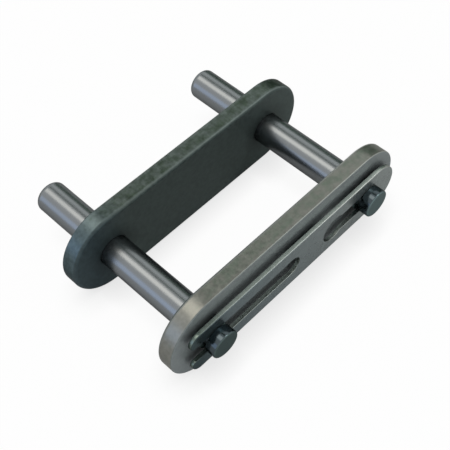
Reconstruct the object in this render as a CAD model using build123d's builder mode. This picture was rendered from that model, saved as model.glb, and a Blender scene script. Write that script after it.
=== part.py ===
from build123d import *
import os

# Connecting link of a heavy double-pitch roller chain, with attachment pins that run on
# past the back plate and a spring clip on the other side. Millimetres, +Z up. The link
# stands on the long straight edges of its two plates.
#   X: along the chain, through both pins. The clip's closed end is at +X.
#   Y: along the pins. The tails point to +Y, the pin heads and the clip to -Y.
#   Z: up, from the edges that the plates stand on.
# Origin: middle of the overall size in X and Y, on the standing surface.

# ---- Chain sizes ---------------------------------------------------------------------
pitch = 38.1  # between the two pin axes
plate_gap = 19.6  # between the inner faces of the two plates
plate_thickness = 3.2
plate_height = 17.2
pin_diameter = 5.94

# ---- Plates --------------------------------------------------------------------------
rolled_edge_radius = 0.75  # edge drawn in by the blanking punch, on the inner face
sheared_edge_break = 0.25  # edge broken by tumbling, on the outer face
slip_clearance = 0.05  # radial, cover plate round the pins

# ---- Pins ----------------------------------------------------------------------------
tail_length = 14.3  # pin beyond the back plate
tail_crown_radius = 1.1
seat_taper = 0.01  # radial, over the seat that wedges the pin into the back plate
head_length = 2.1
head_relief = 0.27  # radial, head under the shank, so that the cover plate passes
head_edge_break = 0.3
groove_depth = 0.95  # radial, under the shank

# ---- Spring clip ---------------------------------------------------------------------
clip_gap = 0.7  # between the cover plate and the clip
clip_thickness = 0.8
clip_play = 0.06  # between the clip and each wall of its groove
clip_height = 10.1
closed_end_offset = 2.1  # right pin axis to the centre of the clip's round end
open_end_reach = 5.4  # left pin axis to the tips of the tines
slot_clearance = 0.08  # to each side of the groove's neck
keyhole_clearance = 0.08  # radial, keyhole round the head
keyhole_travel = 9.1  # how far the clip slides to bring its keyhole over the head
web_length = 6.2  # between the keyhole and the root of the fork
tine_inner_radius = 0.9
tine_tip_flat = 0.07  # left straight at a tine's tip, between its two rounds
keyhole_blend_radius = 1.0  # where the keyhole runs into its slot
clip_edge_break = 0.12

# ---- Sizes that follow ---------------------------------------------------------------
neck_diameter = pin_diameter - 2 * groove_depth
head_diameter = pin_diameter - 2 * head_relief
slot_width = neck_diameter + 2 * slot_clearance
keyhole_diameter = head_diameter + 2 * keyhole_clearance
tine_width = (clip_height - slot_width) / 2
tine_outer_radius = tine_width - tine_inner_radius - tine_tip_flat
overall_depth = (
    tail_length
    + plate_thickness
    + plate_gap
    + plate_thickness
    + clip_gap
    + clip_thickness
    + clip_play
    + head_length
)

# ---- Stations along Y, from the tails to the heads -----------------------------------
tail_tip = overall_depth / 2
back_outer = tail_tip - tail_length
back_inner = back_outer - plate_thickness
cover_inner = back_inner - plate_gap
cover_outer = cover_inner - plate_thickness
clip_back = cover_outer - clip_gap
clip_front = clip_back - clip_thickness
shank_end = clip_back + clip_play
head_back = clip_front - clip_play
head_tip = head_back - head_length

# ---- Places in X and Z ---------------------------------------------------------------
pin_height = plate_height / 2
right_pin_x = pitch / 2
left_pin_x = -right_pin_x
closed_end_x = right_pin_x + closed_end_offset
open_end_x = left_pin_x - open_end_reach
keyhole_x = right_pin_x - keyhole_travel
fork_root_x = keyhole_x - keyhole_diameter / 2 - web_length - slot_width / 2


def station(y):
    """Plane across the pins at y. Its x runs along X, its y along Z, its normal to -Y."""
    return Plane.XZ.offset(-y)


def make_plate(start, hole_diameter, outer_end):
    """Oblong plate with two pin holes, from start towards -Y.

    outer_end is -1 where the plate's outer face is its last along Y, and 0 where it is
    the first.
    """
    inner_end = -1 - outer_end
    with BuildPart() as plate:
        with BuildSketch(station(start)):
            with Locations((0, pin_height)):
                SlotCenterToCenter(pitch, plate_height)
            with Locations((left_pin_x, pin_height), (right_pin_x, pin_height)):
                Circle(hole_diameter / 2, mode=Mode.SUBTRACT)
        extrude(amount=plate_thickness)
        faces = plate.faces().filter_by(Axis.Y).sort_by(Axis.Y)
        rolled_edges = faces[inner_end].outer_wire().edges()
        sheared_edges = faces[outer_end].outer_wire().edges()
        fillet(rolled_edges, radius=rolled_edge_radius)
        chamfer(sheared_edges, length=sheared_edge_break)
    return plate


def make_pin(pin_x):
    """Turned pin: crowned tail, press seat, shank, groove for the clip, and head."""
    shank = pin_diameter / 2
    neck = neck_diameter / 2
    head = head_diameter / 2
    with BuildPart() as pin:
        with BuildSketch(Plane((pin_x, 0, pin_height))):
            with BuildLine():
                Polyline(
                    (0, tail_tip),
                    (shank, tail_tip),
                    (shank, back_outer),
                    (shank + seat_taper, back_outer),
                    (shank, back_inner),
                    (shank, shank_end),
                    (neck, shank_end),
                    (neck, head_back),
                    (head, head_back),
                    (head, head_tip),
                    (0, head_tip),
                    close=True,
                )
            make_face()
        revolve(axis=Axis((pin_x, 0, pin_height), (0, 1, 0)))
        rims = pin.edges().filter_by(GeomType.CIRCLE).sort_by(Axis.Y)
        fillet(rims[-1], radius=tail_crown_radius)
        chamfer(rims[0], length=head_edge_break)
    return pin


# ---- Plates: the pins are pressed into the back one, and the cover slips over them ---
back_plate = make_plate(back_outer, pin_diameter, outer_end=-1)
back_plate.part.label = "back_plate"

cover_plate = make_plate(cover_inner, pin_diameter + 2 * slip_clearance, outer_end=0)
cover_plate.part.label = "cover_plate"

# ---- Pins ----------------------------------------------------------------------------
left_pin = make_pin(left_pin_x)
left_pin.part.label = "left_pin"

right_pin = make_pin(right_pin_x)
right_pin.part.label = "right_pin"

# ---- Spring clip: closed at +X, forked at -X -----------------------------------------
# To fit it, its keyhole goes over the right head, and the clip slides to -X: its slot
# takes the neck of the right pin and its fork takes the neck of the left one.
with BuildPart() as spring_clip:
    with BuildSketch(station(clip_back)) as outline:
        with Locations(((open_end_x + closed_end_x) / 2, pin_height)):
            Rectangle(closed_end_x - open_end_x, clip_height)
        with Locations((closed_end_x, pin_height)):
            Circle(clip_height / 2)

        with Locations(((open_end_x + fork_root_x) / 2, pin_height)):
            Rectangle(fork_root_x - open_end_x, slot_width, mode=Mode.SUBTRACT)
        with Locations((fork_root_x, pin_height)):
            Circle(slot_width / 2, mode=Mode.SUBTRACT)

        with Locations(((keyhole_x + right_pin_x) / 2, pin_height)):
            SlotCenterToCenter(right_pin_x - keyhole_x, slot_width, mode=Mode.SUBTRACT)
        with Locations((keyhole_x, pin_height)):
            Circle(keyhole_diameter / 2, mode=Mode.SUBTRACT)

        outer_corners = outline.vertices().group_by(Axis.X)[0].sort_by(Axis.Y)[::3]
        fillet(outer_corners, radius=tine_outer_radius)
        inner_corners = outline.vertices().group_by(Axis.X)[0].sort_by(Axis.Y)[1:-1]
        fillet(inner_corners, radius=tine_inner_radius)
        keyhole_corners = outline.vertices().filter_by_position(
            Axis.X, keyhole_x, keyhole_x + keyhole_diameter / 2
        )
        fillet(keyhole_corners, radius=keyhole_blend_radius)
    extrude(amount=clip_thickness)
    clip_faces = spring_clip.faces().filter_by(Axis.Y)
    chamfer(clip_faces.edges(), length=clip_edge_break)
spring_clip.part.label = "spring_clip"

# ---- One file for each piece ---------------------------------------------------------
os.makedirs("parts", exist_ok=True)
for piece in (back_plate, cover_plate, left_pin, right_pin, spring_clip):
    export_step(piece.part, f"parts/{piece.part.label}.step")
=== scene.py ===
from math import cos, pi, radians, sin

import bmesh
import bpy
from mathutils import Euler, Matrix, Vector


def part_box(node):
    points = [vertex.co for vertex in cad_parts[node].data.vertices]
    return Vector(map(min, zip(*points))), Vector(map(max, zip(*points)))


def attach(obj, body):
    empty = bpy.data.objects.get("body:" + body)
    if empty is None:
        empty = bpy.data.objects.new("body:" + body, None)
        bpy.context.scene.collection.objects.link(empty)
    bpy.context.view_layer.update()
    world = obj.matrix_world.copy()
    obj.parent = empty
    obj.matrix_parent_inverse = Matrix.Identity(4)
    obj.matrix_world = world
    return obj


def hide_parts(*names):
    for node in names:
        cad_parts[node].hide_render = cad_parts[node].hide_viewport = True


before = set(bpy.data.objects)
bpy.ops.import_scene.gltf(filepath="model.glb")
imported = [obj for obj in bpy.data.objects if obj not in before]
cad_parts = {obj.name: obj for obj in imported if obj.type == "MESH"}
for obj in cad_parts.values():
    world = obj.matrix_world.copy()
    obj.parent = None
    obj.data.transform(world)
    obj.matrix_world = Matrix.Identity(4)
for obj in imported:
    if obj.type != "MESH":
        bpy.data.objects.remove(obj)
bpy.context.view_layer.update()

# ---- Back plate ----------------------------------------------------------------------
# The link plate that the pins are pressed into, blanked from carbon steel strip, hardened
# and tumbled. The punch draws its inner outline in, and its cut edge keeps the fine drag
# lines of the die. Sizes are in metres, X along the chain and Y along the pins.
low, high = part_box("back_plate")
back_inner, back_outer = low.y, high.y
plate_height = high.z - low.z
mid_height = (low.z + high.z) / 2
pitch = 0.0381
pin_places = (-pitch / 2, pitch / 2)
pin_radius = 0.00297
rolled_edge_radius = 0.00075
sheared_edge_break = 0.00025
hole_edge_break = 0.0001
near = 0.00001  # a corner this near to a place counts as at it


def choose(kind, test):
    """Of the piece being edited, selects only the corners or the edges that pass a test."""
    bpy.ops.mesh.select_mode(type=kind)
    bpy.ops.mesh.select_all(action="DESELECT")
    shape = bmesh.from_edit_mesh(bpy.context.object.data)
    for element in {"VERT": shape.verts, "EDGE": shape.edges}[kind]:
        if test(element):
            element.select_set(True)
    shape.select_flush_mode()
    bmesh.update_edit_mesh(bpy.context.object.data)


def take(piece):
    """Makes a piece the only one selected, and the active one."""
    bpy.ops.object.select_all(action="DESELECT")
    bpy.context.view_layer.objects.active = piece
    piece.select_set(True)


def lies_at(edge, y):
    """Whether an edge lies in the plane across the pins at y."""
    return all(abs(corner.co.y - y) < near for corner in edge.verts)


def lies_round(edge, axis_x, axis_z, radius):
    """Whether both ends of an edge are a radius away from an axis along Y."""
    return all(
        abs(Vector((corner.co.x - axis_x, corner.co.z - axis_z)).length - radius) < near
        for corner in edge.verts
    )


def add_rod(radius, start, end, x, sides=128):
    """A cylinder along Y, from start to end, at the height of the pins."""
    bpy.ops.object.select_all(action="DESELECT")
    bpy.ops.mesh.primitive_cylinder_add(
        vertices=sides,
        radius=radius,
        depth=abs(end - start),
        location=(x, (start + end) / 2, mid_height),
        rotation=(pi / 2, pi / sides, 0),
    )
    bpy.ops.object.transform_apply()
    return bpy.context.object


def cut_away(piece, cutter):
    """Cuts a piece with a cutter, which then leaves the scene. The piece stays active."""
    take(piece)
    cut = piece.modifiers.new("cut", "BOOLEAN")
    cut.object = cutter
    bpy.ops.object.modifier_apply(modifier=cut.name)
    bpy.data.objects.remove(cutter)


def smooth(piece):
    """Shades a piece smooth over its rounded edges and keeps its flats flat."""
    take(piece)
    bpy.ops.object.shade_smooth_by_angle(angle=radians(40))
    weighted = piece.modifiers.new("flats", "WEIGHTED_NORMAL")
    weighted.keep_sharp = True
    bpy.ops.object.modifier_apply(modifier=weighted.name)


def blank_plate(name, inner, outer, hole_radius):
    """An oblong plate with two holes, drawn in round its inner face."""
    plate = add_rod(plate_height / 2, inner, outer, 0, sides=192)
    plate.name = name
    bpy.ops.object.mode_set(mode="EDIT")
    for side in (-1, 1):
        choose("VERT", lambda corner: corner.co.x * side > 0)
        bpy.ops.transform.translate(value=(side * pitch / 2, 0, 0))
    choose("EDGE", lambda edge: lies_at(edge, inner))
    bpy.ops.mesh.bevel(offset=rolled_edge_radius, segments=7)
    choose("EDGE", lambda edge: lies_at(edge, outer))
    bpy.ops.mesh.bevel(offset=sheared_edge_break, segments=4)
    bpy.ops.object.mode_set(mode="OBJECT")

    # Each punch stands out of the plate by a plate's thickness on either side
    for pin_x in pin_places:
        cut_away(plate, add_rod(hole_radius, 2 * inner - outer, 2 * outer - inner, pin_x))
    bpy.ops.object.mode_set(mode="EDIT")
    for y in (inner, outer):
        for pin_x in pin_places:
            choose(
                "EDGE",
                lambda edge: lies_at(edge, y) and lies_round(edge, pin_x, mid_height, hole_radius),
            )
            bpy.ops.mesh.bevel(offset=hole_edge_break, segments=2)
    bpy.ops.object.mode_set(mode="OBJECT")
    smooth(plate)
    return plate


def linear(hex_colour):
    """An sRGB hex colour as the linear RGBA that a node's socket takes."""
    channels = [int(hex_colour[start : start + 2], 16) / 255 for start in (1, 3, 5)]
    return [c / 12.92 if c <= 0.04045 else ((c + 0.055) / 1.055) ** 2.4 for c in channels] + [1]


def add_node(shader, kind, inputs=None, **settings):
    """Adds a node to a material or world. An input that is an output socket is linked.

    A Mix node of colours takes them as its inputs 6 and 7, and gives its output 2.
    """
    node = shader.node_tree.nodes.new(kind)
    for name, value in settings.items():
        setattr(node, name, value)
    for name, value in (inputs or {}).items():
        if isinstance(value, bpy.types.NodeSocket):
            shader.node_tree.links.new(value, node.inputs[name])
        else:
            node.inputs[name].default_value = value
    return node


def cut_edge_colour(steel, place, drag, inboard, middle, scaled, rubbed_and_highlit):
    """The cut edge's scale, worn off in blotches, and the edge lighter towards its arrises and,
    most of all, round the -X end, where the lightening is a painted highlight."""
    # Blotches, drawn out a little along the drag lines
    blotch_size = 0.0012
    blotches = add_node(
        steel,
        "ShaderNodeTexNoise",
        {"Vector": place.outputs["Object"], "Scale": 1 / blotch_size, "Detail": 4},
    )
    scaling = add_node(
        steel,
        "ShaderNodeMix",
        {"Factor": 0.2, "A": blotches.outputs[0], "B": drag.outputs[0]},
        data_type="FLOAT",
    )
    patches = add_node(
        steel,
        "ShaderNodeMapRange",
        {"Value": scaling.outputs[0], "From Min": 0.35, "From Max": 0.65},
    )

    # From 0.8 mm off the middle the cut edge grows lighter, up to the arrises
    spot = add_node(steel, "ShaderNodeSeparateXYZ", {0: place.outputs["Object"]})
    offset = add_node(
        steel, "ShaderNodeMath", {0: spot.outputs["Y"], 1: middle}, operation="SUBTRACT"
    )
    outwards = add_node(steel, "ShaderNodeMath", {0: offset.outputs[0]}, operation="ABSOLUTE")
    margin = add_node(
        steel,
        "ShaderNodeMapRange",
        {"Value": outwards.outputs[0], "From Min": 0.0008, "From Max": 0.0015, "To Max": 0.8},
    )
    # Painted highlight round the -X end
    end_highlight = add_node(
        steel, "ShaderNodeMapRange", {"Value": inboard.outputs[0], "To Min": 0.7, "To Max": 0}
    )
    tumbled = add_node(
        steel, "ShaderNodeMath", {0: margin.outputs[0], 1: patches.outputs[0]}, operation="ADD"
    )
    wear_and_highlight = add_node(
        steel, "ShaderNodeMath", {0: tumbled.outputs[0], 1: end_highlight.outputs[0]}, operation="ADD"
    )
    return add_node(
        steel,
        "ShaderNodeMix",
        {"Factor": wear_and_highlight.outputs[0], 6: linear(scaled), 7: linear(rubbed_and_highlit)},
        data_type="RGBA",
    ).outputs[2]


def face_colour(steel, place, lengthwise, face, pin_shade):
    """A tumbled face, with painted shade round each pin."""
    pin_shade_reach = 0.003
    # For the clip the two face colours differ: painted shade, darker towards the fork
    tumbled = add_node(
        steel,
        "ShaderNodeMix",
        {"Factor": lengthwise.outputs[0], 6: linear(face[0]), 7: linear(face[1])},
        data_type="RGBA",
    )
    # Mirrored in X, so that one distance serves both pins
    spot = add_node(steel, "ShaderNodeSeparateXYZ", {0: place.outputs["Object"]})
    mirrored = add_node(steel, "ShaderNodeMath", {0: spot.outputs["X"]}, operation="ABSOLUTE")
    away_x = add_node(
        steel, "ShaderNodeMath", {0: mirrored.outputs[0], 1: pitch / 2}, operation="SUBTRACT"
    )
    away_z = add_node(
        steel, "ShaderNodeMath", {0: spot.outputs["Z"], 1: mid_height}, operation="SUBTRACT"
    )
    away = add_node(
        steel, "ShaderNodeCombineXYZ", {"X": away_x.outputs[0], "Z": away_z.outputs[0]}
    )
    distance = add_node(steel, "ShaderNodeVectorMath", {0: away.outputs[0]}, operation="LENGTH")
    # Painted shade: the face darkens towards each pin, where the pins and their heads shade it
    unshaded = add_node(
        steel,
        "ShaderNodeMapRange",
        {
            "Value": distance.outputs["Value"],
            "From Min": pin_radius,
            "From Max": pin_radius + pin_shade_reach,
            "To Min": 1 - pin_shade,
        },
    )
    return add_node(
        steel,
        "ShaderNodeVectorMath",
        {0: tumbled.outputs[2], "Scale": unshaded.outputs[0]},
        operation="SCALE",
    ).outputs[0]


def strip_steel(
    name, middle, face, scaled, rubbed_and_highlit, arris, tint, bare, roughness, grazing, speckle, pin_shade
):
    """Steel strip, blanked and tumbled: pitted faces, a scaled cut edge and lighter arrises.

    The strip's middle is a place along Y. face, arris and tint are pairs of colours, at
    the -X end and towards +X, and tint is laid over the whole surface. The arris colour is
    a painted highlight, and where face, arris or tint change along X, the change is painted
    light and shade. bare is how metallic the faces are, grazing tints what the steel mirrors
    at a low angle, and roughness is the faces' and the cut edge's. speckle is how far the
    pits lift and lower the colour, and pin_shade is the share of it that the painted shade
    round each pin takes away.
    """
    end_blend = 0.004
    pit_size = 0.0007
    drag_spacing = 0.00035
    drag_length = 0.0025
    steel = bpy.data.materials.new(name)
    steel.use_nodes = True
    surface = steel.node_tree.nodes["Principled BSDF"]
    surface.inputs["Specular Tint"].default_value = linear(grazing)

    # Where on the piece: on_face is 0 on the cut edge and 1 on a face, lengthwise goes from
    # 0 at the left pin to 1 at the right one, and inboard is 0 only round the -X end
    place = add_node(steel, "ShaderNodeTexCoord")
    spot = add_node(steel, "ShaderNodeSeparateXYZ", {0: place.outputs["Object"]})
    turned = add_node(steel, "ShaderNodeSeparateXYZ", {0: place.outputs["Normal"]})
    facing = add_node(steel, "ShaderNodeMath", {0: turned.outputs["Y"]}, operation="ABSOLUTE")
    on_face = add_node(
        steel,
        "ShaderNodeMapRange",
        {"Value": facing.outputs[0], "From Min": 0.2, "From Max": 0.6},
    )
    lengthwise = add_node(
        steel,
        "ShaderNodeMapRange",
        {"Value": spot.outputs["X"], "From Min": -pitch / 2, "From Max": pitch / 2},
    )
    inboard = add_node(
        steel,
        "ShaderNodeMapRange",
        {
            "Value": spot.outputs["X"],
            "From Min": -pitch / 2 - end_blend,
            "From Max": -pitch / 2 + end_blend,
        },
    )

    # The real pits are some 0.1 mm across, and the real drag lines stand closer than 0.1 mm.
    # Both are drawn coarser, so that they show.
    pits = add_node(
        steel,
        "ShaderNodeTexNoise",
        {"Vector": place.outputs["Object"], "Scale": 1 / pit_size, "Detail": 1},
    )
    stretched = add_node(
        steel,
        "ShaderNodeMapping",
        {
            "Vector": place.outputs["Object"],
            "Scale": (1 / drag_spacing, 1 / drag_length, 1 / drag_spacing),
        },
    )
    drag = add_node(
        steel, "ShaderNodeTexNoise", {"Vector": stretched.outputs[0], "Scale": 1, "Detail": 2}
    )

    # Colour: cut edge or face, then the painted highlight on the arrises between them, the tint,
    # which paints light and shade round the -X end, and the pits
    colour = add_node(
        steel,
        "ShaderNodeMix",
        {
            "Factor": on_face.outputs[0],
            6: cut_edge_colour(steel, place, drag, inboard, middle, scaled, rubbed_and_highlit),
            7: face_colour(steel, place, lengthwise, face, pin_shade),
        },
        data_type="RGBA",
    )
    arris_colour = add_node(
        steel,
        "ShaderNodeMix",
        {"Factor": lengthwise.outputs[0], 6: linear(arris[0]), 7: linear(arris[1])},
        data_type="RGBA",
    )
    # The painted highlight lies on the arris, where the surface is turned about halfway between
    # edge and face
    on_arris = add_node(steel, "ShaderNodeValToRGB", {"Fac": facing.outputs[0]})
    ramp = on_arris.color_ramp
    ramp.elements[0].position = 0.35
    ramp.elements[0].color = (0, 0, 0, 1)
    ramp.elements[1].position = 0.8
    ramp.elements[1].color = (0, 0, 0, 1)
    ramp.elements.new(0.6).color = (1, 1, 1, 1)
    with_arris_highlight = add_node(
        steel,
        "ShaderNodeMix",
        {"Factor": on_arris.outputs[0], 6: colour.outputs[2], 7: arris_colour.outputs[2]},
        data_type="RGBA",
    )
    # Painted light and shade round the -X end: the tint there blues the back plate, lightens the
    # cover and darkens the clip
    over_all = add_node(
        steel,
        "ShaderNodeMix",
        {"Factor": inboard.outputs[0], 6: linear(tint[0]), 7: linear(tint[1])},
        data_type="RGBA",
    )
    tinted = add_node(
        steel,
        "ShaderNodeVectorMath",
        {0: with_arris_highlight.outputs[2], 1: over_all.outputs[2]},
        operation="MULTIPLY",
    )
    pitted = add_node(
        steel,
        "ShaderNodeMapRange",
        {
            "Value": pits.outputs[0],
            "From Min": 0.3,
            "From Max": 0.7,
            "To Min": 1 - speckle,
            "To Max": 1 + speckle,
        },
    )
    shaded = add_node(
        steel,
        "ShaderNodeVectorMath",
        {0: tinted.outputs[0], "Scale": pitted.outputs[0]},
        operation="SCALE",
    )
    steel.node_tree.links.new(shaded.outputs[0], surface.inputs["Base Color"])

    # Gloss: the faces' oxide is only part metal, and the pits make the gloss uneven
    metal = add_node(
        steel, "ShaderNodeMapRange", {"Value": on_face.outputs[0], "To Min": 1, "To Max": bare}
    )
    steel.node_tree.links.new(metal.outputs[0], surface.inputs["Metallic"])
    dull = add_node(
        steel,
        "ShaderNodeMapRange",
        {"Value": on_face.outputs[0], "To Min": roughness[1], "To Max": roughness[0]},
    )
    uneven = add_node(
        steel, "ShaderNodeMapRange", {"Value": pits.outputs[0], "To Min": -0.08, "To Max": 0.08}
    )
    rough = add_node(
        steel, "ShaderNodeMath", {0: dull.outputs[0], 1: uneven.outputs[0]}, operation="ADD"
    )
    steel.node_tree.links.new(rough.outputs[0], surface.inputs["Roughness"])

    # Relief: drag lines on the cut edge and pits on the faces, 0.03 mm deep
    relief = add_node(
        steel,
        "ShaderNodeMix",
        {"Factor": on_face.outputs[0], "A": drag.outputs[0], "B": pits.outputs[0]},
        data_type="FLOAT",
    )
    bump = add_node(
        steel,
        "ShaderNodeBump",
        {"Height": relief.outputs[0], "Strength": 0.15, "Distance": 0.00003},
    )
    steel.node_tree.links.new(bump.outputs[0], surface.inputs["Normal"])
    return steel


back_plate = blank_plate("back_plate_steel", back_inner, back_outer, pin_radius)

# Hardened and left dark, and coloured darker partly as painted shade on the face between the
# plates: a near-black green, mottled on the cut edge, with a bluish -X end that is a painted
# reflection of the blue lamp
shaded_hardened_steel = strip_steel(
    "shaded_hardened_carbon_steel",
    middle=(back_inner + back_outer) / 2,
    face=("#475250", "#475250"),
    scaled="#424d43",
    rubbed_and_highlit="#5c6561",
    arris=("#4a524e", "#626c69"),
    tint=("#e2eeff", "#ffffff"),
    bare=0.6,
    roughness=(0.5, 0.34),
    grazing="#b0b0b0",
    speckle=0.15,
    pin_shade=0.35,
)
back_plate.data.materials.append(shaded_hardened_steel)
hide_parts("back_plate")
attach(back_plate, "link")

# ---- Pins ----------------------------------------------------------------------------
# Two turned pins of case-hardened alloy steel, ground and polished, pressed into the back
# plate. Their tails run on past it to carry an attachment, and each head stands beyond a
# groove that the clip sits in.
low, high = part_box("left_pin")
head_tip, tail_tip = low.y, high.y
clip_low, clip_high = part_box("spring_clip")
clip_play = 0.00006
head_back = clip_low.y - clip_play
shank_end = clip_high.y + clip_play
groove_depth = 0.00095
neck_radius = pin_radius - groove_depth
head_relief = 0.00027
head_radius = pin_radius - head_relief
tail_crown_radius = 0.0011
head_edge_break = 0.0003
groove_edge_break = 0.00012

# Turned at X = 0 and Z = 0, as a disc that is drawn out from the head to the tail
bpy.ops.object.select_all(action="DESELECT")
bpy.ops.mesh.primitive_circle_add(
    vertices=128,
    radius=head_radius,
    fill_type="NGON",
    location=(0, head_tip, 0),
    rotation=(pi / 2, 0, 0),
)
bpy.ops.object.transform_apply()
turned_pin = bpy.context.object
bpy.ops.object.mode_set(mode="EDIT")
bpy.ops.mesh.select_all(action="SELECT")
last_radius, last_y = head_radius, head_tip
for radius, y in (
    (head_radius, head_back),
    (neck_radius, head_back),
    (neck_radius, shank_end),
    (pin_radius, shank_end),
    (pin_radius, tail_tip),
):
    bpy.ops.mesh.extrude_region_move(TRANSFORM_OT_translate={"value": (0, y - last_y, 0)})
    bpy.ops.transform.resize(
        value=(radius / last_radius, 1, radius / last_radius), center_override=(0, y, 0)
    )
    last_radius, last_y = radius, y
for y, radius, edge_break, steps in (
    (head_tip, head_radius, head_edge_break, 5),
    (head_back, head_radius, groove_edge_break, 3),
    (shank_end, pin_radius, groove_edge_break, 3),
    (tail_tip, pin_radius, tail_crown_radius, 9),
):
    choose("EDGE", lambda edge: lies_at(edge, y) and lies_round(edge, 0, 0, radius))
    bpy.ops.mesh.bevel(offset=edge_break, segments=steps)
bpy.ops.mesh.select_all(action="SELECT")
bpy.ops.mesh.normals_make_consistent(inside=False)
bpy.ops.object.mode_set(mode="OBJECT")
smooth(turned_pin)

# Polished shanks mirror long bright and dark lines. The heads are coloured darker, but glossier,
# and the end faces are turned flat and green-grey, the right pin's painted lighter than the left
# pin's as a painted reflection.
pin_steel = bpy.data.materials.new("polished_alloy_steel")
pin_steel.use_nodes = True
pin_surface = pin_steel.node_tree.nodes["Principled BSDF"]
pin_surface.inputs["Metallic"].default_value = 1
pin_surface.inputs["Specular Tint"].default_value = linear("#b8b8b8")
pin_place = add_node(pin_steel, "ShaderNodeTexCoord")
pin_spot = add_node(pin_steel, "ShaderNodeSeparateXYZ", {0: pin_place.outputs["Object"]})
pin_turned = add_node(pin_steel, "ShaderNodeSeparateXYZ", {0: pin_place.outputs["Normal"]})
pin_facing = add_node(
    pin_steel, "ShaderNodeMath", {0: pin_turned.outputs["Y"]}, operation="ABSOLUTE"
)
on_end = add_node(
    pin_steel,
    "ShaderNodeMapRange",
    {"Value": pin_facing.outputs[0], "From Min": 0.3, "From Max": 0.8},
)
on_shank = add_node(
    pin_steel,
    "ShaderNodeMapRange",
    {"Value": pin_spot.outputs["Y"], "From Min": head_back, "From Max": shank_end},
)
ground = add_node(
    pin_steel,
    "ShaderNodeMix",
    {"Factor": on_shank.outputs[0], 6: linear("#485155"), 7: linear("#7c8082")},
    data_type="RGBA",
)
left_to_right = add_node(
    pin_steel,
    "ShaderNodeMapRange",
    {"Value": pin_spot.outputs["X"], "From Min": -pitch / 2, "From Max": pitch / 2},
)
faced_ends_and_reflection = add_node(
    pin_steel,
    "ShaderNodeMix",
    {"Factor": left_to_right.outputs[0], 6: linear("#526160"), 7: linear("#677a7b")},
    data_type="RGBA",
)
machined = add_node(
    pin_steel,
    "ShaderNodeMix",
    {"Factor": on_end.outputs[0], 6: ground.outputs[2], 7: faced_ends_and_reflection.outputs[2]},
    data_type="RGBA",
)

# Painted reflection: the shank is darkened near the press seat, where it mirrors the dark plate.
# The darkening fades out between two distances from the plate's middle, and ragged runs of noise
# take up to their own length off both.
reflection_fades = 0.0042
reflection_ends = 0.0054
streak_width = 0.0007
streak_length = 0.0045
runs = add_node(
    pin_steel,
    "ShaderNodeTexNoise",
    {"Vector": pin_place.outputs["Object"], "Scale": 1 / streak_width, "Detail": 3},
)
from_seat = add_node(
    pin_steel,
    "ShaderNodeMath",
    {0: pin_spot.outputs["Y"], 1: (back_inner + back_outer) / 2},
    operation="SUBTRACT",
)
seat_distance = add_node(pin_steel, "ShaderNodeMath", {0: from_seat.outputs[0]}, operation="ABSOLUTE")
ragged = add_node(
    pin_steel,
    "ShaderNodeMath",
    {0: runs.outputs[0], 1: streak_length, 2: seat_distance.outputs[0]},
    operation="MULTIPLY_ADD",
)
painted_reflection = add_node(
    pin_steel,
    "ShaderNodeMapRange",
    {"Value": ragged.outputs[0], "From Min": reflection_fades, "From Max": reflection_ends, "To Min": 0.62},
)
with_painted_reflection = add_node(
    pin_steel,
    "ShaderNodeVectorMath",
    {0: machined.outputs[2], "Scale": painted_reflection.outputs[0]},
    operation="SCALE",
)
pin_steel.node_tree.links.new(with_painted_reflection.outputs[0], pin_surface.inputs["Base Color"])
polish = add_node(
    pin_steel,
    "ShaderNodeMapRange",
    {"Value": on_shank.outputs[0], "To Min": 0.16, "To Max": 0.26},
)
pin_steel.node_tree.links.new(polish.outputs[0], pin_surface.inputs["Roughness"])

for pin_x, node in zip(pin_places, ("left_pin", "right_pin")):
    pin = turned_pin.copy()
    pin.data = turned_pin.data.copy()
    pin.name = node + "_steel"
    bpy.context.scene.collection.objects.link(pin)
    take(pin)
    pin.location = (pin_x, 0, mid_height)
    bpy.ops.object.transform_apply()
    pin.data.materials.append(pin_steel)
    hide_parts(node)
    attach(pin, "link")
bpy.data.objects.remove(turned_pin)

# ---- Cover plate ---------------------------------------------------------------------
# The loose plate of the link, blanked as the back plate is. It slips over the pins'
# heads, so that the chain can be opened here, and the clip keeps it on.
low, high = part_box("cover_plate")
cover_outer, cover_inner = low.y, high.y
slip_clearance = 0.00005

cover_plate = blank_plate(
    "cover_plate_steel", cover_inner, cover_outer, pin_radius + slip_clearance
)

# Tumbled, and brighter than the back plate: a warm grey edge, an even grey face, a lighter arris
# towards +X, which is a painted highlight, and a painted highlight round the -X end
tumbled_steel = strip_steel(
    "tumbled_carbon_steel",
    middle=(cover_inner + cover_outer) / 2,
    face=("#808889", "#808889"),
    scaled="#6e776d",
    rubbed_and_highlit="#7e7f79",
    arris=("#666d67", "#a0a49a"),
    tint=("#ffffff", "#f6f6f6"),
    bare=0.65,
    roughness=(0.45, 0.34),
    grazing="#d8d8d8",
    speckle=0.08,
    pin_shade=0.55,
)
cover_plate.data.materials.append(tumbled_steel)
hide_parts("cover_plate")
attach(cover_plate, "cover")

# ---- Spring clip ---------------------------------------------------------------------
# A blanked leaf of spring steel, tempered blue and then polished. Its keyhole passes the
# right head, its slot holds the neck behind it, and its fork snaps over the left neck.
clip_front, clip_back = clip_low.y, clip_high.y
clip_height = clip_high.z - clip_low.z
open_end_x = clip_low.x
closed_end_offset = 0.0021
closed_end_x = pitch / 2 + closed_end_offset + clip_height / 2
slot_clearance = 0.00008
slot_width = 2 * (neck_radius + slot_clearance)
keyhole_travel = 0.0091
keyhole_x = pitch / 2 - keyhole_travel
keyhole_radius = head_radius + slot_clearance
web_length = 0.0062
fork_root_x = keyhole_x - keyhole_radius - web_length - slot_width / 2
tine_inner_radius = 0.0009
tine_tip_flat = 0.00007
tine_outer_radius = (clip_height - slot_width) / 2 - tine_inner_radius - tine_tip_flat
clip_edge_roll = 0.00018
clip_edge_burr = 0.00006
cutter_overhang = 0.001
cutter_front = clip_front - cutter_overhang
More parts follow.
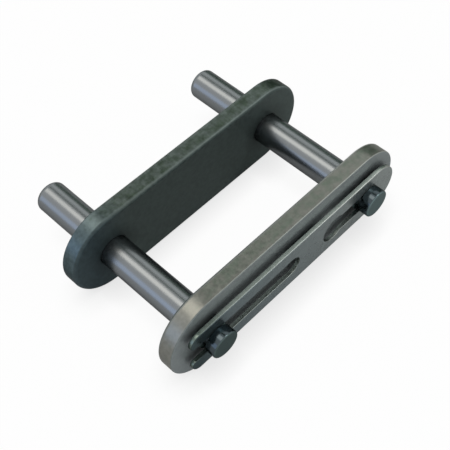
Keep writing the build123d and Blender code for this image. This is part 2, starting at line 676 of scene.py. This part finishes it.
cutter_back = clip_back + cutter_overhang
hair = 0.000001  # left between the rounds of the closed end, so that they stay two


def runs_through(edge):
    """Whether an edge runs straight through the clip, from its back to its front."""
    return abs(edge.verts[0].co.y - edge.verts[1].co.y) > (clip_back - clip_front) / 2


def add_slot_cutter(start_x, end_x):
    """A round-ended cutter, as wide as the clip's slots, between two centres."""
    middle_x = (start_x + end_x) / 2
    cutter = add_rod(slot_width / 2, cutter_front, cutter_back, middle_x, sides=96)
    bpy.ops.object.mode_set(mode="EDIT")
    for side in (-1, 1):
        choose("VERT", lambda corner: side * (corner.co.x - middle_x) > 0)
        bpy.ops.transform.translate(value=(side * (end_x - start_x) / 2, 0, 0))
    bpy.ops.object.mode_set(mode="OBJECT")
    return cutter


# Blanked: one full-round end, two corners rounded at the other, then fork and keyhole
bpy.ops.object.select_all(action="DESELECT")
bpy.ops.mesh.primitive_cube_add(size=1)
spring_clip = bpy.context.object
spring_clip.name = "spring_clip_steel"
spring_clip.scale = (closed_end_x - open_end_x, clip_back - clip_front, clip_height)
spring_clip.location = (
    (closed_end_x + open_end_x) / 2,
    (clip_back + clip_front) / 2,
    mid_height,
)
bpy.ops.object.transform_apply()
bpy.ops.object.mode_set(mode="EDIT")
choose("EDGE", lambda edge: runs_through(edge) and edge.verts[0].co.x > 0)
bpy.ops.mesh.bevel(offset=clip_height / 2 - hair, segments=48)
choose("EDGE", lambda edge: runs_through(edge) and edge.verts[0].co.x < 0)
bpy.ops.mesh.bevel(offset=tine_outer_radius, segments=16)
bpy.ops.object.mode_set(mode="OBJECT")
cut_away(spring_clip, add_slot_cutter(open_end_x - slot_width, fork_root_x))
cut_away(spring_clip, add_slot_cutter(keyhole_x, pitch / 2))
cut_away(spring_clip, add_rod(keyhole_radius, cutter_front, cutter_back, keyhole_x))
bpy.ops.object.mode_set(mode="EDIT")
choose(
    "EDGE",
    lambda edge: runs_through(edge)
    and edge.verts[0].co.x < open_end_x + near
    and abs(abs(edge.verts[0].co.z - mid_height) - slot_width / 2) < near,
)
bpy.ops.mesh.bevel(offset=tine_inner_radius, segments=8)
bpy.ops.object.mode_set(mode="OBJECT")

# The punch rolls the front of the outline over. Behind, and round the slots, it leaves no
# more than a burr.
shape = bmesh.new()
shape.from_mesh(spring_clip.data)
weight = shape.edges.layers.float.new("bevel_weight_edge")
for edge in shape.edges:
    if min(abs(face.normal.y) for face in edge.link_faces) > 0.5:
        continue
    middle = (edge.verts[0].co + edge.verts[1].co) / 2
    pierced = (
        abs(middle.z - mid_height) < keyhole_radius + near
        and open_end_x + tine_inner_radius < middle.x < pitch / 2 + slot_width
    )
    if lies_at(edge, clip_front) and not pierced:
        edge[weight] = 1
    elif lies_at(edge, clip_front) or lies_at(edge, clip_back):
        edge[weight] = clip_edge_burr / clip_edge_roll
shape.to_mesh(spring_clip.data)
shape.free()
take(spring_clip)
rolled = spring_clip.modifiers.new("rolled", "BEVEL")
rolled.limit_method = "WEIGHT"
rolled.width = clip_edge_roll
rolled.segments = 3
rolled.use_clamp_overlap = False
bpy.ops.object.modifier_apply(modifier=rolled.name)
smooth(spring_clip)

# Polished on a belt after tempering: a smooth blue-grey face, with painted shade darkening it
# towards the fork, a pale cut edge, and a bright rolled arris at the closed end that is a painted
# highlight
spring_steel = strip_steel(
    "tempered_spring_steel",
    middle=(clip_back + clip_front) / 2,
    face=("#748185", "#9aa2a1"),
    scaled="#969e98",
    rubbed_and_highlit="#a2aaa3",
    arris=("#2c302e", "#94908a"),
    tint=("#a6b0ae", "#ffffff"),
    bare=0.9,
    roughness=(0.3, 0.3),
    grazing="#b0b0b0",
    speckle=0.04,
    pin_shade=0,
)
spring_clip.data.materials.append(spring_steel)
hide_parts("spring_clip")
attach(spring_clip, "clip")

# ---- Floor ---------------------------------------------------------------------------
# A wide sheet of matt white paper, which the camera and the steel see as a white ground,
# with the link's own soft shadow close round it.
bpy.ops.object.select_all(action="DESELECT")
bpy.ops.mesh.primitive_plane_add(size=8)
floor = bpy.context.object
floor.name = "floor"


def background_rays(shader):
    """1 for a ray that shows the background: camera, glossy or transmission."""
    path = add_node(shader, "ShaderNodeLightPath")
    seen = add_node(
        shader,
        "ShaderNodeMath",
        {0: path.outputs["Is Camera Ray"], 1: path.outputs["Is Glossy Ray"]},
        operation="MAXIMUM",
    )
    return add_node(
        shader,
        "ShaderNodeMath",
        {0: seen.outputs[0], 1: path.outputs["Is Transmission Ray"]},
        operation="MAXIMUM",
    ).outputs[0]


# The camera sees nearly all white glow. In the steel the sheet keeps 9 parts in 10 of its
# lit and shaded look, so that the pins mirror the link's shadow.
paper = bpy.data.materials.new("matt_paper")
paper.use_nodes = True
paper.node_tree.nodes.clear()
paper_path = add_node(paper, "ShaderNodeLightPath")
whitened = add_node(
    paper,
    "ShaderNodeMapRange",
    {"Value": paper_path.outputs["Is Camera Ray"], "To Min": 0.1, "To Max": 0.97},
)
glow_share = add_node(
    paper,
    "ShaderNodeMath",
    {0: background_rays(paper), 1: whitened.outputs[0]},
    operation="MULTIPLY",
)
# Where the link stands close over the sheet, its shadow takes up to a fifth off the glow
shadow_reach = 0.007
open_above = add_node(
    paper, "ShaderNodeAmbientOcclusion", {"Distance": shadow_reach}, samples=16
)
shadow = add_node(
    paper,
    "ShaderNodeMapRange",
    {"Value": open_above.outputs["AO"], "From Min": 0.4, "From Max": 0.9, "To Min": 0.78},
)
sheet = add_node(paper, "ShaderNodeBsdfDiffuse", {"Color": linear("#e6e6e6")})
glow = add_node(
    paper, "ShaderNodeEmission", {"Color": linear("#ffffff"), "Strength": shadow.outputs[0]}
)
ground_look = add_node(
    paper,
    "ShaderNodeMixShader",
    {0: glow_share.outputs[0], 1: sheet.outputs[0], 2: glow.outputs[0]},
)
add_node(paper, "ShaderNodeOutputMaterial", {"Surface": ground_look.outputs[0]})
floor.data.materials.append(paper)

# ---- Room, lamps and cards -----------------------------------------------------------
# A white room with four soft boxes, and two grey-green cards that the pins mirror as the
# dark lines along their shanks.
studio = bpy.data.worlds.new("studio")
bpy.context.scene.world = studio
studio.use_nodes = True
studio.node_tree.nodes.clear()
room = add_node(
    studio, "ShaderNodeBackground", {"Color": linear("#ffffff"), "Strength": 0.6}
)
white = add_node(studio, "ShaderNodeBackground", {"Color": linear("#ffffff"), "Strength": 1})
room_look = add_node(
    studio,
    "ShaderNodeMixShader",
    {0: background_rays(studio), 1: room.outputs[0], 2: white.outputs[0]},
)
add_node(studio, "ShaderNodeOutputWorld", {"Surface": room_look.outputs[0]})


def hang_round(thing, turn, distance, y):
    """Hangs a lamp or card over the link at y, facing it, turned round Y from +X."""
    thing.location = (cos(radians(turn)) * distance, y, sin(radians(turn)) * distance)
    thing.rotation_euler = (0, radians(90 - turn), 0)


lamp_distance = 0.6
# Each lamp's angle in degrees, width, start and end along Y, radiance and colour
for name, turn, width, start, end, radiance, tint in (
    ("key_box", 100, 0.27, -0.1, 0.5, 1.8, "#fff6ea"),
    ("right_box", 46, 0.12, 0.05, 0.5, 0.3, "#e6fff0"),
    ("left_box", 172, 0.5, -0.1, 0.5, 0.68, "#9cc4ff"),
    ("front_box", 58, 0.2, -0.45, -0.25, 6.0, "#ffffff"),
):
    box = bpy.data.lights.new(name, "AREA")
    box.shape = "RECTANGLE"
    box.size = width
    box.size_y = end - start
    box.energy = radiance * pi * width * (end - start)
    box.color = linear(tint)[:3]
    lamp = bpy.data.objects.new(name, box)
    bpy.context.scene.collection.objects.link(lamp)
    lamp.visible_camera = False
    hang_round(lamp, turn, lamp_distance, (start + end) / 2)

card = bpy.data.materials.new("painted_card")
card.use_nodes = True
card_surface = card.node_tree.nodes["Principled BSDF"]
card_surface.inputs["Base Color"].default_value = linear("#8ea494")
card_surface.inputs["Roughness"].default_value = 0.9
card_distance = 0.5
# Each card's angle in degrees, width, and start and end along Y
for name, turn, width, start, end in (
    ("upper_flag", 70, 0.1, 0.05, 0.5),
    ("right_flag", 15, 0.3, 0.05, 0.5),
):
    bpy.ops.object.select_all(action="DESELECT")
    bpy.ops.mesh.primitive_plane_add(size=1)
    flag = bpy.context.object
    flag.name = name
    flag.scale = (width, end - start, 1)
    hang_round(flag, turn, card_distance, (start + end) / 2)
    flag.visible_camera = False
    flag.data.materials.append(card)

# ---- Camera --------------------------------------------------------------------------
# Looks down on the clip's side from beyond the link's left end, some 35 degrees off the
# vertical, with the link's long side running up to the right.
lens = bpy.data.cameras.new("camera")
lens.lens = 70.02
lens.sensor_width = 36
lens.clip_start = 0.001
camera = bpy.data.objects.new("camera", lens)
bpy.context.scene.collection.objects.link(camera)
camera.location = (-0.06452, -0.06814, 0.13167)
camera.rotation_euler = Euler([radians(a) for a in (35.588, 0.892, -46.071)])
bpy.context.scene.camera = camera
bpy.context.scene.view_settings.view_transform = "Standard"
